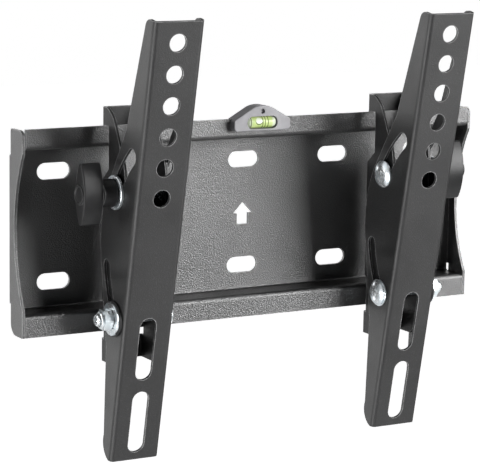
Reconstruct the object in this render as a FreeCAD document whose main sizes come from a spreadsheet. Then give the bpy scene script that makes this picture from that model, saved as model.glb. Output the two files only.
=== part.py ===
import FreeCAD, Part
import Sketcher
import os
import re
from FreeCAD import Placement, Rotation, Vector

# Tilting wall mount for a flat television, in millimetres.
# X runs along the wall, +Y into the wall, +Z up. The origin is the centre of the plate's
# back face, so y = 0 is the wall. The arms stand as pictured, tilted forward.

SIZES = {
    # wall plate, one folded sheet
    "sheet": 1.5,
    "bend_radius": 2.5,
    "plate_depth": 17.0,
    "rail_half": 133.4,
    "end_gap": 0.4,
    "top_shelf": 43.1,
    "bottom_shelf": 43.2,
    "top_lip": 52.4,
    "bottom_lip": 53.6,
    "wall_slot_pitch": 55.5,
    "wall_slot_count": 5,
    "wall_slot_row": 28.5,
    "wall_slot_length": 18.5,
    "wall_slot_width": 8.5,
    "arrow_height": 12.2,
    "arrow_width": 11.8,
    "arrow_head": 6.2,
    "arrow_shaft": 6.8,
    "arrow_tip_height": 5.6,
    "end_waist": 6.8,
    "end_reach": 40.0,
    "end_root": 38.0,
    "end_bend": 1.7,
    "end_relief": 2.8,
    "end_drop": 0.7,
    "end_corner": 3.5,
    "end_nick": 1.5,
    "end_heel": 6.0,
    # tilt axis, out in front of the arms, and the angles about it
    "axis_out": 90.4,
    "axis_drop": 9.0,
    "tilt_rest": 11.1,
    "tilt_back": 10.0,
    "clamp_radius": 63.4,
    "clamp_angle": 28.2,
    "guide_radius": 66.8,
    "guide_angle": 31.4,
    # arms, outer channels
    "left_place": 77.75,
    "right_place": 81.75,
    "arm_sheet": 1.5,
    "arm_bend": 2.5,
    "arm_width": 28.0,
    "arm_length": 233.5,
    "arm_above_axis": 112.8,
    "face_from_axis": 38.5,
    "first_hole": 10.9,
    "hole_pitch": 16.0,
    "hole_count": 6,
    "hole_width": 9.2,
    "slot_margin": 4.2,
    "slot_step": 40.5,
    "face_slot_length": 33.9,
    "ear_depth": 4.5,
    "ear_round_down": 1.12,
    "ear_round_depth": 7.54,
    "ear_end_down": 3.95,
    "ear_end_depth": 9.12,
    "flange_kink_down": 60.0,
    "flange_kink_depth": 18.0,
    "crown_start_down": 94.0,
    "crown_start_depth": 32.0,
    "crown_down": 112.0,
    "crown_depth": 35.0,
    "crown_end_down": 132.0,
    "crown_end_depth": 32.0,
    "flange_waist_down": 175.0,
    "flange_waist_depth": 17.0,
    "foot_up": 11.5,
    "foot_depth": 10.0,
    "foot_round_up": 2.9,
    "foot_round_depth": 7.75,
    "clamp_slot_width": 8.6,
    "guide_slot_width": 6.6,
    "slot_end_play": 2.6,
    # hook brackets, inner channels
    "bracket_sheet": 1.5,
    "bracket_bend": 2.2,
    "side_gap": 0.3,
    "hang_gap": 0.3,
    "hook_height": 61.9,
    "hook_gap": 5.0,
    "tongue_end": 46.0,
    "mouth_height": 31.0,
    "web_top": 24.0,
    "web_bottom": 36.0,
    "heel_top": 38.8,
    "bottom_mouth": 4.0,
    "bracket_foot": 69.5,
    "bracket_foot_out": 27.0,
    "shin_out": 35.5,
    "shin_height": 59.5,
    "bracket_front": 40.5,
    "front_bottom": 48.8,
    "front_top": 25.5,
    "cheek_out": 40.0,
    "cheek_height": 30.5,
    "chin_out": 38.5,
    "chin_height": 35.5,
    "nose_out": 28.5,
    "nose_height": 54.5,
    "brow_out": 24.0,
    "brow_height": 59.5,
    # clamp bolt, knob and its washer
    "clamp_shank": 7.9,
    "neck_width": 8.0,
    "clamp_head": 14.5,
    "clamp_head_height": 3.8,
    "neck_length": 4.2,
    "neck_play": 0.3,
    "flat_gap": 0.1,
    "bolt_chamfer": 0.7,
    "dome_edge": 0.2,
    "dome_rise": 0.8,
    "dome_reach": 0.3,
    "dome_flat": 0.1,
    "edge_break": 0.18,
    "knob_washer_width": 17.5,
    "knob_washer_thick": 1.6,
    "hub_width": 14.4,
    "hub_length": 8.0,
    "hub_chamfer": 0.9,
    "wing_height": 31.4,
    "wing_depth": 11.0,
    "wing_thick": 10.5,
    "wing_rim": 0.8,
    "wing_tip_depth": 3.6,
    "wing_tip_round": 1.2,
    "boss_width": 10.6,
    "boss_height": 0.8,
    "dish_width": 7.6,
    "dish_depth": 0.55,
    "dish_slope": 0.42,
    "insert_width": 10.0,
    "insert_length": 10.0,
    "clamp_end_play": 3.0,
    # guide bolt, its washers and lock nut
    "guide_shank": 6.0,
    "guide_head": 13.2,
    "guide_head_height": 3.2,
    "head_washer_width": 14.6,
    "head_washer_thick": 1.0,
    "friction_width": 18.6,
    "friction_thick": 1.3,
    "guide_washer_width": 17.0,
    "guide_washer_thick": 1.2,
    "bore_play": 0.2,
    "nut_width": 10.0,
    "nut_height": 4.8,
    "nut_face_width": 9.4,
    "collar_width": 8.8,
    "collar_height": 1.5,
    "collar_round": 0.3,
    "guide_stub": 1.9,
    # level, clipped over the top lip
    "level_half": 17.0,
    "level_base": 46.0,
    "level_shoulder": 51.8,
    "level_top": 59.3,
    "level_crown": 6.0,
    "level_rise": 1.3,
    "level_front": 21.2,
    "level_back": 13.2,
    "level_rim": 0.6,
    "level_corner": 2.2,
    "level_bend": 1.6,
    "level_fit": 0.1,
    "vial_length": 18.4,
    "vial_width": 6.6,
    "vial_depth": 3.2,
    "vial_edge": 0.95,
    "vial_height": 50.3,
    "vial_fit": 0.05,
    "pip_width": 2.8,
    "pip_height": 56.3,
}

doc = FreeCAD.newDocument("WallMount")
sheet = doc.addObject("Spreadsheet::Sheet", "Sizes")
for row, (alias, value) in enumerate(SIZES.items(), start=1):
    sheet.set("A%d" % row, alias)
    sheet.set("B%d" % row, str(value))
    sheet.setAlias("B%d" % row, alias)
doc.recompute()

NODES = []


def linked(text):
    """Turn plain size names in an expression into references to the sheet."""
    return re.sub(r"[a-z]+_[a-z_]+|\bsheet\b", lambda found: "Sizes." + found.group(0), str(text))


def bind(item, path, text):
    """Tie one property of an object to an expression in the sheet's sizes."""
    item.setExpression(path, linked(text))


def new_body(name):
    """Start one piece as a body of its own and list it for export."""
    body = doc.addObject("PartDesign::Body", name)
    body.Label = name
    NODES.append(body)
    return body


def origin_part(body, role):
    """Find one of a body's own origin planes or axes."""
    return next(item for item in body.Origin.OriginFeatures if item.Role == role)


def new_sketch(body, name, plane, offset=None):
    """Attach a sketch to one of the body's planes, at a distance along its normal."""
    sketch = body.newObject("Sketcher::SketchObject", name)
    sketch.AttachmentSupport = [(origin_part(body, plane), "")]
    sketch.MapMode = "FlatFace"
    if offset is not None:
        bind(sketch, "AttachmentOffset.Base.z", offset)
    return sketch


def placed_points(sketch, places):
    """Add reference points, each held from the sketch's origin by two expressions."""
    indices = []
    for number, (across, up) in enumerate(places):
        point = sketch.addGeometry(Part.Point(Vector(number + 1.0, 0.5 * number + 1.0, 0)), True)
        for kind, text in (("DistanceX", across), ("DistanceY", up)):
            held = sketch.addConstraint(Sketcher.Constraint(kind, -1, 1, point, 1, 1.0))
            bind(sketch, "Constraints[%d]" % held, text)
        indices.append(point)
    sketch.recompute()
    return indices


def outline(sketch, corners, arcs=None):
    """Draw a closed outline through the corners; arcs maps a side to a point it passes."""
    arcs = arcs or {}
    ends = placed_points(sketch, corners)
    middles = dict(zip(arcs, placed_points(sketch, arcs.values())))
    for side, start in enumerate(ends):
        end = ends[(side + 1) % len(ends)]
        first = sketch.getPoint(start, 1)
        last = sketch.getPoint(end, 1)
        if side in middles:
            middle = sketch.getPoint(middles[side], 1)
            arc = Part.Arc(first, middle, last)
            edge = sketch.addGeometry(arc, False)
            begins = (sketch.getPoint(edge, 1) - first).Length < (sketch.getPoint(edge, 1) - last).Length
            heads = (1, 2) if begins else (2, 1)
            sketch.addConstraint(Sketcher.Constraint("PointOnObject", middles[side], 1, edge))
        else:
            edge = sketch.addGeometry(Part.LineSegment(first, last), False)
            heads = (1, 2)
        sketch.addConstraint(Sketcher.Constraint("Coincident", edge, heads[0], start, 1))
        sketch.addConstraint(Sketcher.Constraint("Coincident", edge, heads[1], end, 1))
    return sketch


def circle(sketch, across, up, width):
    """Draw a circle with its centre and diameter tied to expressions."""
    centre = placed_points(sketch, [(across, up)])[0]
    place = sketch.getPoint(centre, 1)
    ring = sketch.addGeometry(Part.Circle(place, Vector(0, 0, 1), 2.0), False)
    sketch.addConstraint(Sketcher.Constraint("Coincident", ring, 3, centre, 1))
    held = sketch.addConstraint(Sketcher.Constraint("Diameter", ring, 4.0))
    bind(sketch, "Constraints[%d]" % held, width)
    return sketch


def obround(sketch, across, up, length, width, upright=False):
    """Draw a slot with round ends about its centre, lying or upright."""
    half = "(%s) / 2" % width
    run = "((%s) - (%s)) / 2" % (length, width)
    full = "(%s) / 2" % length

    def place(along, aside):
        first, second = (aside, along) if upright else (along, aside)
        return "(%s) + (%s)" % (across, first), "(%s) + (%s)" % (up, second)

    corners = [
        place("-(%s)" % run, "-(%s)" % half),
        place(run, "-(%s)" % half),
        place(run, half),
        place("-(%s)" % run, half),
    ]
    return outline(sketch, corners, {1: place(full, "0"), 3: place("-(%s)" % full, "0")})


def pad(body, sketch, length, name, symmetric=False, reversed_way=False):
    """Pad a sketch by a bound length."""
    feature = body.newObject("PartDesign::Pad", name)
    feature.Profile = sketch
    bind(feature, "Length", length)
    if symmetric:
        feature.SideType = "Symmetric"
    feature.Reversed = reversed_way
    doc.recompute()
    return feature


def pocket(body, sketch, length, name):
    """Cut a sketch through the body, half the length to each side of its plane."""
    feature = body.newObject("PartDesign::Pocket", name)
    feature.Profile = sketch
    bind(feature, "Length", length)
    feature.SideType = "Symmetric"
    before = feature.BaseFeature.Shape.Volume
    doc.recompute()
    if feature.Shape.isNull() or feature.Shape.Volume >= before:
        raise RuntimeError("pocket cuts nothing: " + name)
    return feature


def revolve(body, sketch, name):
    """Turn a half outline about the body's X axis."""
    feature = body.newObject("PartDesign::Revolution", name)
    feature.Profile = sketch
    feature.ReferenceAxis = (origin_part(body, "X_Axis"), [""])
    feature.Angle = 360.0
    doc.recompute()
    return feature


def repeat(body, feature, axis, spacing, count, name, backwards=False):
    """Repeat a cut along one of the body's axes at an even spacing."""
    row = body.newObject("PartDesign::LinearPattern", name)
    row.Originals = [feature]
    row.Direction = (origin_part(body, axis), [""])
    bind(row, "Length", "%s * (%s - 1)" % (spacing, count))
    bind(row, "Occurrences", count)
    row.Reversed = backwards
    body.Tip = row
    doc.recompute()
    return row


def value(alias):
    """Read one size from the sheet."""
    return float(sheet.get(alias))


def edges_at(shape, **places):
    """Name the straight edges that lie at the given x, y or z along their whole length."""
    names = []
    for number, edge in enumerate(shape.Edges, start=1):
        box = edge.BoundBox
        spans = {"x": (box.XMin, box.XMax), "y": (box.YMin, box.YMax), "z": (box.ZMin, box.ZMax)}
        if all(abs(end - place) < 0.01 for axis, place in places.items() for end in spans[axis]):
            names.append("Edge%d" % number)
    return names


def round_edges(body, places, radius, name):
    """Round the edges found at each of the places with a bound radius."""
    base = body.Tip
    names = []
    for spot in places:
        names += [found for found in edges_at(base.Shape, **spot) if found not in names]
    if not names:
        raise RuntimeError("no edge to round: " + name)
    feature = body.newObject("PartDesign::Fillet", name)
    feature.Base = (base, names)
    bind(feature, "Radius", radius)
    doc.recompute()
    return feature


def make_wall_plate():
    """The back panel with both lips, the two bent ends, the wall slots and the arrow."""
    body = new_body("wall_plate")
    section = new_sketch(body, "RailSection", "YZ_Plane")
    outline(section, [
        ("0", "top_shelf"),
        ("sheet - plate_depth", "top_shelf"),
        ("sheet - plate_depth", "top_lip"),
        ("-plate_depth", "top_lip"),
        ("-plate_depth", "top_shelf - sheet"),
        ("-sheet", "top_shelf - sheet"),
        ("-sheet", "sheet - bottom_shelf"),
        ("-plate_depth", "sheet - bottom_shelf"),
        ("-plate_depth", "-bottom_lip"),
        ("sheet - plate_depth", "-bottom_lip"),
        ("sheet - plate_depth", "-bottom_shelf"),
        ("0", "-bottom_shelf"),
    ])
    pad(body, section, "2 * rail_half", "Rail", symmetric=True)
    thick, depth = value("sheet"), value("plate_depth")
    top, bottom = value("top_shelf"), value("bottom_shelf")
    outer = [
        {"y": 0.0, "z": top},
        {"y": 0.0, "z": -bottom},
        {"y": -depth, "z": top - thick},
        {"y": -depth, "z": thick - bottom},
    ]
    inner = [
        {"y": -thick, "z": top - thick},
        {"y": -thick, "z": thick - bottom},
        {"y": thick - depth, "z": top},
        {"y": thick - depth, "z": -bottom},
    ]
    round_edges(body, outer, "bend_radius", "OuterBends")
    round_edges(body, inner, "bend_radius - sheet", "InnerBends")

    inside = "rail_half + end_gap"
    strip = new_sketch(body, "EndStrip", "XZ_Plane")
    outline(strip, [
        ("-(%s + sheet)" % inside, "-end_root"),
        ("%s + sheet" % inside, "-end_root"),
        ("%s + sheet" % inside, "end_root"),
        ("-(%s + sheet)" % inside, "end_root"),
    ])
    pad(body, strip, "sheet", "EndStrips")

    flange = new_sketch(body, "EndOutline", "YZ_Plane", inside)
    tall = "top_lip - end_drop"
    low = "-bottom_lip"
    inset = "(1 - cos(45deg))"
    outline(flange, [
        ("0", "-end_root"),
        ("0", "end_root"),
        ("-end_relief", "end_root"),
        ("-end_relief", "%s - end_nick" % tall),
        ("-(end_relief + end_nick)", tall),
        ("end_corner - plate_depth", tall),
        ("-plate_depth", "%s - end_corner" % tall),
        ("-plate_depth", "end_reach"),
        ("-plate_depth", "-end_reach"),
        ("-plate_depth", low),
        ("-(end_relief + end_heel)", low),
        ("-end_relief", "%s + end_heel" % low),
        ("-end_relief", "-end_root"),
    ], {
        3: ("-(end_relief + %s * end_nick)" % inset, "%s - %s * end_nick" % (tall, inset)),
        5: ("-plate_depth + %s * end_corner" % inset, "%s - %s * end_corner" % (tall, inset)),
        7: ("-end_waist", "0"),
        10: ("-(end_relief + %s * end_heel)" % inset, "%s + %s * end_heel" % (low, inset)),
    })
    right_end = pad(body, flange, "sheet", "RightEnd")
    both = body.newObject("PartDesign::Mirrored", "BothEnds")
    both.Originals = [right_end]
    both.MirrorPlane = (origin_part(body, "YZ_Plane"), [""])
    body.Tip = both
    doc.recompute()
    end_out = value("rail_half") + value("end_gap") + thick
    round_edges(body, [{"x": end_out, "y": 0.0}, {"x": -end_out, "y": 0.0}], "end_bend", "EndBends")

    slots = new_sketch(body, "WallSlots", "XZ_Plane")
    outermost = "-(wall_slot_count - 1) / 2 * wall_slot_pitch"
    for height in ("wall_slot_row", "-wall_slot_row"):
        obround(slots, outermost, height, "wall_slot_length", "wall_slot_width")
    first = pocket(body, slots, "4 * sheet", "FirstSlots")
    repeat(body, first, "X_Axis", "wall_slot_pitch", "wall_slot_count", "SlotRows")

    arrow = new_sketch(body, "Arrow", "XZ_Plane")
    shoulder = "arrow_tip_height - arrow_head"
    foot = "arrow_tip_height - arrow_height"
    outline(arrow, [
        ("0", "arrow_tip_height"),
        ("arrow_width / 2", shoulder),
        ("arrow_shaft / 2", shoulder),
        ("arrow_shaft / 2", foot),
        ("-arrow_shaft / 2", foot),
        ("-arrow_shaft / 2", shoulder),
        ("-arrow_width / 2", shoulder),
    ])
    pocket(body, arrow, "4 * sheet", "ArrowCut")
    return body


def along_arm(down, depth):
    """A point of the arm's side view, down from its top and back from its face."""
    return "face_from_axis + (%s)" % depth, "arm_above_axis - (%s)" % down


def ring_slot(sketch, radius, low, high, width):
    """Draw a slot that follows a circle about the tilt axis between two angles."""
    half = "(%s) / 2" % width
    middle = "((%s) + (%s)) / 2" % (low, high)

    def polar(reach, angle, aside="0"):
        turn = "((%s) * 1deg)" % angle
        across = "(%s) * cos%s - (%s) * sin%s" % (reach, turn, aside, turn)
        upward = "(%s) * sin%s + (%s) * cos%s" % (reach, turn, aside, turn)
        return across, upward

    near = "(%s) - (%s)" % (radius, half)
    far = "(%s) + (%s)" % (radius, half)
    corners = [polar(near, low), polar(far, low), polar(far, high), polar(near, high)]
    outline(sketch, corners, {
        0: polar(radius, low, "-(%s)" % half),
        1: polar(far, middle),
        2: polar(radius, high, half),
        3: polar(near, middle),
    })


def make_arm(side, place):
    """An arm: a folded channel whose face takes the television and whose flanges are slotted."""
    body = new_body(side + "_arm")
    shape = new_sketch(body, "SideOutline", "YZ_Plane")
    outline(shape, [
        along_arm("0", "0"),
        along_arm("0", "ear_depth"),
        along_arm("ear_end_down", "ear_end_depth"),
        along_arm("flange_kink_down", "flange_kink_depth"),
        along_arm("crown_start_down", "crown_start_depth"),
        along_arm("crown_end_down", "crown_end_depth"),
        along_arm("flange_waist_down", "flange_waist_depth"),
        along_arm("arm_length - foot_up", "foot_depth"),
        along_arm("arm_length", "arm_bend"),
        along_arm("arm_length", "0"),
    ], {
        1: along_arm("ear_round_down", "ear_round_depth"),
        4: along_arm("crown_down", "crown_depth"),
        7: along_arm("arm_length - foot_round_up", "foot_round_depth"),
    })
    pad(body, shape, "arm_width", "Blank", symmetric=True)
    inside = new_sketch(body, "InsideOutline", "YZ_Plane")
    outline(inside, [
        along_arm("-arm_length", "arm_sheet"),
        along_arm("-arm_length", "2 * crown_depth"),
        along_arm("2 * arm_length", "2 * crown_depth"),
        along_arm("2 * arm_length", "arm_sheet"),
    ])
    pocket(body, inside, "arm_width - 2 * arm_sheet", "Inside")
    half, thick, face = value("arm_width") / 2, value("arm_sheet"), value("face_from_axis")
    round_edges(body, [{"x": half, "y": face}, {"x": -half, "y": face}], "arm_bend", "OuterBends")
    round_edges(
        body,
        [{"x": half - thick, "y": face + thick}, {"x": thick - half, "y": face + thick}],
        "arm_bend - arm_sheet",
        "InnerBends",
    )

    hole = new_sketch(body, "FirstHole", "XZ_Plane")
    circle(hole, "0", "arm_above_axis - first_hole", "hole_width")
    first = pocket(body, hole, "4 * crown_depth + 4 * face_from_axis", "TopHole")
    repeat(body, first, "Z_Axis", "hole_pitch", "hole_count", "FaceHoles", backwards=True)
    slots = new_sketch(body, "FaceSlots", "XZ_Plane")
    for rise in ("slot_step", "0"):
        centre = "arm_above_axis - arm_length + slot_margin + %s + face_slot_length / 2" % rise
        obround(slots, "0", centre, "face_slot_length", "hole_width", upright=True)
    pocket(body, slots, "4 * crown_depth + 4 * face_from_axis", "FaceSlotCuts")

    guides = new_sketch(body, "TiltSlots", "YZ_Plane")
    ring_slot(
        guides,
        "clamp_radius",
        "clamp_angle - tilt_rest - slot_end_play",
        "clamp_angle + tilt_back + slot_end_play",
        "clamp_slot_width",
    )
    ring_slot(
        guides,
        "guide_radius",
        "-guide_angle - tilt_rest - slot_end_play",
        "-guide_angle + tilt_back + slot_end_play",
        "guide_slot_width",
    )
    pocket(body, guides, "2 * arm_width", "TiltSlotCuts")
    body.Placement = Placement(Vector(0, 0, 0), Rotation(Vector(1, 0, 0), value("tilt_rest")))
    bind(body, "Placement.Base.x", place)
    bind(body, "Placement.Base.y", "-axis_out")
    bind(body, "Placement.Base.z", "-axis_drop")
    bind(body, "Placement.Rotation.Angle", "tilt_rest * 1deg")
    return body


CLAMP_Y = "clamp_radius * cos(clamp_angle * 1deg) - axis_out"
CLAMP_Z = "clamp_radius * sin(clamp_angle * 1deg) - axis_drop"
GUIDE_Y = "guide_radius * cos(guide_angle * 1deg) - axis_out"
GUIDE_Z = "-guide_radius * sin(guide_angle * 1deg) - axis_drop"


def make_bracket(side, place, inboard):
    """A hook bracket: a folded channel that hangs on the top lip and leans on the bottom one."""
    body = new_body(side + "_hook_bracket")
    back = "-(plate_depth - sheet - hang_gap - bracket_sheet)"
    tongue = "-(plate_depth - sheet - hang_gap)"
    rest = "-(plate_depth + hang_gap)"
    hook = "-(plate_depth + hook_gap)"
    catch = "-(bottom_lip + bottom_mouth)"
    profile = new_sketch(body, "SideOutline", "YZ_Plane")
    outline(profile, [
        (back, "hook_height"),
        (back, "tongue_end"),
        (tongue, "tongue_end"),
        (tongue, "top_lip + hang_gap"),
        (hook, "top_lip + hang_gap"),
        (hook, "mouth_height"),
        (back, "web_top"),
        (back, "-web_bottom"),
        (rest, "-heel_top"),
        (rest, catch),
        (back, catch),
        (back, "-bracket_foot"),
        ("-bracket_foot_out", "-bracket_foot"),
        ("-bracket_front", "-front_bottom"),
        ("-bracket_front", "front_top"),
        ("-chin_out", "chin_height"),
        ("-nose_out", "nose_height"),
        ("-(plate_depth + bracket_bend)", "hook_height"),
    ], {
        12: ("-shin_out", "-shin_height"),
        14: ("-cheek_out", "cheek_height"),
        16: ("-brow_out", "brow_height"),
    })
    pad(body, profile, "arm_width - 2 * arm_sheet - 2 * side_gap", "Blank", symmetric=True)
    inside = new_sketch(body, "InsideOutline", "YZ_Plane")
    front = "-2 * bracket_front"
    outline(inside, [
        (tongue, "2 * hook_height"),
        (tongue, "-2 * hook_height"),
        (front, "-2 * hook_height"),
        (front, "2 * hook_height"),
    ])
    clear = "arm_width - 2 * arm_sheet - 2 * side_gap - 2 * bracket_sheet"
    pocket(body, inside, clear, "Inside")
    half = value("arm_width") / 2 - value("arm_sheet") - value("side_gap")
    thick = value("bracket_sheet")
    rear = value("sheet") + value("hang_gap") + thick - value("plate_depth")
    round_edges(body, [{"x": half, "y": rear}, {"x": -half, "y": rear}], "bracket_bend", "OuterBends")
    round_edges(
        body,
        [{"x": half - thick, "y": rear - thick}, {"x": thick - half, "y": rear - thick}],
        "bracket_bend - bracket_sheet",
        "InnerBends",
    )
    holes = new_sketch(body, "BoltHoles", "YZ_Plane")
    circle(holes, CLAMP_Y, CLAMP_Z, "neck_width + 2 * neck_play")
    circle(holes, GUIDE_Y, GUIDE_Z, "guide_shank + 2 * bore_play")
    pocket(body, holes, "2 * arm_width", "BoltHoleCuts")
    square = new_sketch(body, "NeckHole", "YZ_Plane", "%d * arm_width / 2" % inboard)
    neck_outline(square, CLAMP_Y, CLAMP_Z, "neck_width / 2 + neck_play", "clamp_angle")
    pocket(body, square, "arm_width / 2", "NeckHoleCut")
    bind(body, "Placement.Base.x", place)
    return body


def neck_outline(sketch, across, up, half, angle):
    """Draw a square about a centre, turned so that its sides follow the clamp slot."""
    turn = "((%s) * 1deg)" % angle
    corners = []
    for first, second in ((-1, -1), (1, -1), (1, 1), (-1, 1)):
        aside = "(%s) * (%d * cos%s - %d * sin%s)" % (half, first, turn, second, turn)
        upward = "(%s) * (%d * sin%s + %d * cos%s)" % (half, first, turn, second, turn)
        corners.append(("%s + %s" % (across, aside), "%s + %s" % (up, upward)))
    outline(sketch, corners)


def place_on_bolt(body, place, outboard, reach, spot_y, spot_z):
    """Set a turned piece on a bolt's line, its own +X pointing outboard."""
    turn = 0.0 if outboard > 0 else 180.0
    body.Placement = Placement(Vector(0, 0, 0), Rotation(Vector(0, 0, 1), turn))
    bind(body, "Placement.Base.x", "%s + %d * (%s)" % (place, outboard, reach))
    bind(body, "Placement.Base.y", spot_y)
    bind(body, "Placement.Base.z", spot_z)


def make_bolt(name, shank, head, height, length, neck=None):
    """A bolt with a domed head; x = 0 is the head's seat and the shank runs along +X."""
    body = new_body(name)
    half = new_sketch(body, "HalfOutline", "XY_Plane")
    outline(half, [
        ("-%s" % height, "0"),
        (length, "0"),
        (length, "%s / 2 - bolt_chamfer" % shank),
        ("%s - bolt_chamfer" % length, "%s / 2" % shank),
        ("0", "%s / 2" % shank),
        ("0", "%s / 2" % head),
        ("-dome_edge * %s" % height, "%s / 2" % head),
        ("-%s" % height, "dome_flat * %s" % head),
    ], {6: ("-dome_rise * %s" % height, "dome_reach * %s" % head)})
    revolve(body, half, "Turned")
    if neck is not None:
        square = new_sketch(body, "Neck", "YZ_Plane")
        neck_outline(square, "0", "0", "neck_width / 2", neck)
        pad(body, square, "neck_length", "NeckPad")
    return body


def make_washer(name, bore, width, thick):
    """A flat washer with slightly broken edges; its seat is x = 0."""
    body = new_body(name)
    half = new_sketch(body, "HalfOutline", "XY_Plane")
    hole = "(%s) / 2" % bore
    rim = "%s / 2" % width
    outline(half, [
        ("0", hole),
        (thick, hole),
        (thick, "%s - edge_break" % rim),
        ("%s - edge_break" % thick, rim),
        ("edge_break", rim),
        ("0", "%s - edge_break" % rim),
    ])
    revolve(body, half, "Turned")
    return body


def make_lock_nut(name):
    """A hexagon lock nut with its domed collar; its seat is x = 0."""
    body = new_body(name)
    corner = "nut_width / 2 / cos(30deg)"
    hexagon = new_sketch(body, "Hexagon", "YZ_Plane")
    outline(hexagon, [
        ("%s * cos(%ddeg)" % (corner, turn), "%s * sin(%ddeg)" % (corner, turn))
        for turn in range(0, 360, 60)
    ])
    pad(body, hexagon, "nut_height", "HexagonPad")
    collar = new_sketch(body, "CollarOutline", "XY_Plane")
    rim = "collar_width / 2"
    outline(collar, [
        ("nut_height / 2", "guide_shank / 2 + bore_play"),
        ("nut_height + collar_height", "guide_shank / 2 + bore_play"),
        ("nut_height + collar_height", "%s - collar_height / 2" % rim),
        ("nut_height", rim),
        ("nut_height / 2", rim),
    ], {2: (
        "nut_height + (1 - collar_round) * collar_height",
        "%s - collar_round / 2 * collar_height" % rim,
    )})
    revolve(body, collar, "Collar")
    bore = new_sketch(body, "Bore", "YZ_Plane")
    circle(bore, "0", "0", "guide_shank")
    pocket(body, bore, "4 * nut_height", "BoreCut")
    bevel = new_sketch(body, "BevelOutline", "XY_Plane")
    outline(bevel, [
        ("0", "nut_face_width / 2"),
        ("0", "nut_width"),
        ("(nut_width - nut_face_width / 2) * tan(30deg)", "nut_width"),
    ])
    groove = body.newObject("PartDesign::Groove", "Bevel")
    groove.Profile = bevel
    groove.ReferenceAxis = (origin_part(body, "X_Axis"), [""])
    groove.Angle = 360.0
    doc.recompute()
    return body


def make_knob(name):
    """A moulded wing knob: round hub, lozenge wing and round boss; its seat is x = 0."""
    body = new_body(name)
    hub = new_sketch(body, "HubOutline", "XY_Plane")
    end = "hub_length + wing_thick"
    outline(hub, [
        ("0", "0"),
        ("hub_length", "0"),
        ("hub_length", "hub_width / 2"),
        ("hub_chamfer", "hub_width / 2"),
        ("0", "hub_width / 2 - hub_chamfer"),
    ])
    revolve(body, hub, "Hub")
    wing = new_sketch(body, "WingOutline", "YZ_Plane", "hub_length")
    half = "wing_depth / 2"
    tip = "wing_tip_depth / 2"
    tall = "wing_height / 2"
    shoulder = "wing_height / 2 - wing_tip_round"
    outline(wing, [
        ("-(%s)" % tip, "-(%s)" % shoulder),
        (tip, "-(%s)" % shoulder),
        (tip, shoulder),
        ("-(%s)" % tip, shoulder),
    ], {
        0: ("0", "-(%s)" % tall),
        1: (half, "0"),
        2: ("0", tall),
        3: ("-(%s)" % half, "0"),
    })
    solid = pad(body, wing, "wing_thick", "Wing")
    rounded = body.newObject("PartDesign::Fillet", "WingRim")
    rounded.Base = (solid, edges_at(solid.Shape, x=value("hub_length") + value("wing_thick")))
    bind(rounded, "Radius", "wing_rim")
    doc.recompute()
    boss = new_sketch(body, "BossOutline", "XY_Plane")
    outline(boss, [
        ("%s - boss_height" % end, "0"),
        ("%s + boss_height - dish_depth" % end, "0"),
        ("%s + boss_height - dish_depth" % end, "dish_width / 2"),
        ("%s + boss_height" % end, "dish_width / 2 + dish_slope"),
        ("%s + boss_height" % end, "boss_width / 2 - dish_slope"),
        (end, "boss_width / 2"),
        ("%s - boss_height" % end, "boss_width / 2"),
    ])
    revolve(body, boss, "Boss")
    seat = new_sketch(body, "InsertSeat", "XY_Plane")
    outline(seat, [
        ("-hub_length", "0"),
        ("0", "0"),
        ("insert_length + clamp_end_play", "0"),
        ("insert_length + clamp_end_play", "clamp_shank / 2 + bore_play"),
        ("insert_length", "clamp_shank / 2 + bore_play"),
        ("insert_length", "insert_width / 2"),
        ("-hub_length", "insert_width / 2"),
    ])
    groove = body.newObject("PartDesign::Groove", "InsertSeatCut")
    groove.Profile = seat
    groove.ReferenceAxis = (origin_part(body, "X_Axis"), [""])
    groove.Angle = 360.0
    doc.recompute()
    return body


def make_level_holder():
    """The moulded level holder that straddles the top lip, with its vial window."""
    body = new_body("level_holder")
    face = new_sketch(body, "FaceOutline", "XZ_Plane", "level_back")
    outline(face, [
        ("-level_half", "level_base"),
        ("level_half", "level_base"),
        ("level_half", "level_shoulder"),
        ("level_crown", "level_top - level_rise"),
        ("-level_crown", "level_top - level_rise"),
        ("-level_half", "level_shoulder"),
    ], {3: ("0", "level_top")})
    rounded = pad(body, face, "level_front - level_back", "Block")
    ends = (-value("level_half"), value("level_half"))
    for name, height, radius in (
        ("BaseCorners", "level_base", "level_corner"),
        ("Shoulders", "level_shoulder", "level_bend"),
    ):
        turned = [edges_at(rounded.Shape, x=end, z=value(height)) for end in ends]
        corners = body.newObject("PartDesign::Fillet", name)
        corners.Base = (rounded, turned[0] + turned[1])
        bind(corners, "Radius", radius)
        doc.recompute()
        rounded = corners
    rim = body.newObject("PartDesign::Fillet", "FaceRim")
    rim.Base = (rounded, edges_at(rounded.Shape, y=-value("level_front")))
    bind(rim, "Radius", "level_rim")
    doc.recompute()
    lip = new_sketch(body, "LipChannel", "YZ_Plane")
    outline(lip, [
        ("-(plate_depth + level_fit)", "level_base - sheet"),
        ("-(plate_depth - sheet - level_fit)", "level_base - sheet"),
        ("-(plate_depth - sheet - level_fit)", "top_lip + level_fit"),
        ("-(plate_depth + level_fit)", "top_lip + level_fit"),
    ])
    pocket(body, lip, "4 * level_half", "LipChannelCut")
    window = new_sketch(body, "Window", "XZ_Plane", "level_front")
    obround(window, "0", "vial_height", "vial_length + 2 * vial_fit", "vial_width + 2 * vial_fit")
    pocket(body, window, "2 * vial_depth", "WindowCut")
    pip = new_sketch(body, "Pip", "XZ_Plane", "level_front")
    circle(pip, "0", "pip_height", "pip_width")
    pocket(body, pip, "pip_width", "PipCut")
    return body


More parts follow.
